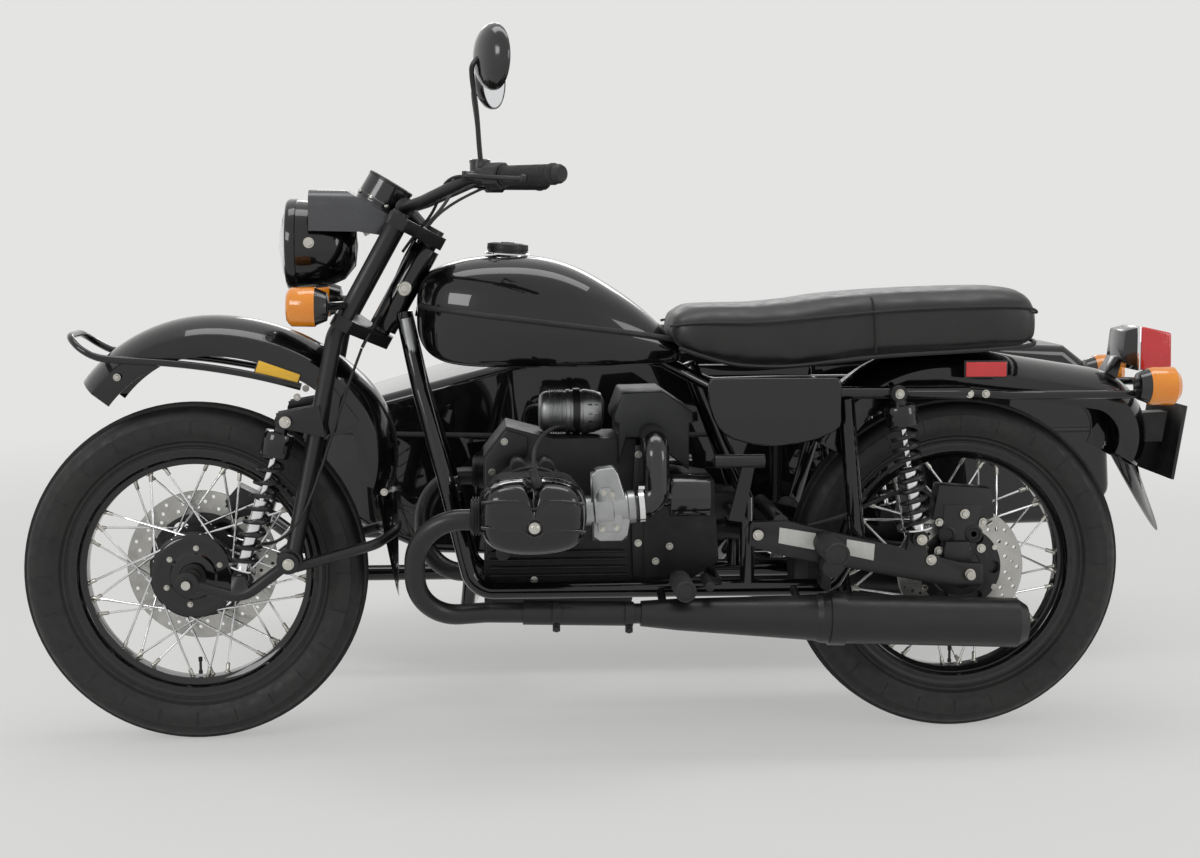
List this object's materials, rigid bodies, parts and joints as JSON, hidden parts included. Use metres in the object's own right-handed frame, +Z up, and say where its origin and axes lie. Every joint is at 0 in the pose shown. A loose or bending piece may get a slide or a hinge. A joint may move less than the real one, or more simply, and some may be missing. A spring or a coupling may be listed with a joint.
{
  "type": "sidecar motorcycle",
  "caption": "Motorcycle with a leading-link fork, flat twin engine and long bench seat, joined by a tubular ladder frame and struts to an open tub sidecar with a trunk.",
  "frame": {"origin": "on the floor under the middle of the outfit's bounding box", "axes": "+X rearwards, +Y to the rider's right where the sidecar is, +Z up; the front faces -X"},
  "size_m": [2.3098, 1.645, 1.3498],
  "materials": {
    "gloss_black": "gloss black enamel",
    "satin_black": "satin black powder coat",
    "grey_satin": "satin dark grey",
    "exhaust_black": "heat-proof satin black",
    "cast_black": "black painted casting",
    "aluminium": "cast and machined aluminium",
    "bright_steel": "ground steel",
    "tyre": "tyre rubber",
    "rubber": "moulded rubber",
    "plastic": "moulded black plastic",
    "vinyl": "grained black vinyl",
    "lamp": "clear coloured lens and black housing",
    "mirror": "gloss black shell with glass",
    "plate": "bare plate"
  },
  "bodies": {
    "root": {"rear_axle": "bright_steel", "bike_frame": "gloss_black", "rear_rail": "gloss_black", "fuel_tank": "gloss_black", "seat": "vinyl", "side_covers": "gloss_black", "engine_block": "cast_black", "cylinders": "cast_black", "rocker_covers": "gloss_black", "alternator": "aluminium", "air_box": "plastic", "intakes": "aluminium", "exhaust_pipes": "exhaust_black", "silencers": "exhaust_black", "kick_starter": "satin_black", "foot_controls": "rubber", "swingarm": "satin_black", "rear_shocks": "satin_black", "final_drive": "cast_black", "rear_caliper": "satin_black", "rear_mudguard": "gloss_black", "rear_lamps": "lamp", "plate_bracket": "plate", "sidecar_body": "gloss_black", "sidecar_seat": "vinyl", "sidecar_chassis": "gloss_black", "sidecar_arm": "satin_black", "sidecar_mudguard": "gloss_black"},
    "steering": {"fork": "satin_black", "leading_links": "satin_black", "front_shocks": "satin_black", "front_axle": "bright_steel", "headlamp": "gloss_black", "headlamp_cowl": "grey_satin", "handlebar": "satin_black", "hand_controls": "rubber", "mirrors": "mirror", "front_mudguard": "gloss_black", "mudguard_hoop": "gloss_black", "front_signals": "lamp", "front_caliper": "satin_black"},
    "front_wheel_body": {"front_tyre": "tyre", "front_wheel": "gloss_black", "front_disc": "bright_steel"},
    "rear_wheel_body": {"rear_tyre": "tyre", "rear_wheel": "gloss_black", "rear_disc": "bright_steel"},
    "sidecar_wheel_body": {"sidecar_tyre": "tyre", "sidecar_wheel": "gloss_black"},
    "trunk_lid_body": {"trunk_lid": "gloss_black"}
  },
  "joints": [
    {"name": "steering_head", "type": "hinge", "parent": "root", "child": "steering", "pos_m": [-0.418, -0.4135, 0.878], "axis": [0.4848, 0, 0.8746], "range_deg": [-35, 35]},
    {"name": "front_wheel_spin", "type": "hinge", "parent": "steering", "child": "front_wheel_body", "pos_m": [-0.825, -0.4135, 0.33], "axis": [0, 1, 0], "continuous": true},
    {"name": "rear_wheel_spin", "type": "hinge", "parent": "root", "child": "rear_wheel_body", "pos_m": [0.663, -0.4135, 0.33], "axis": [0, 1, 0], "continuous": true},
    {"name": "sidecar_wheel_spin", "type": "hinge", "parent": "root", "child": "sidecar_wheel_body", "pos_m": [0.563, 0.7365, 0.33], "axis": [0, 1, 0], "continuous": true},
    {"name": "trunk_lid_hinge", "type": "hinge", "parent": "root", "child": "trunk_lid_body", "pos_m": [0.502, 0.3265, 0.757], "axis": [0, -1, 0], "range_deg": [0, 75]}
  ]
}
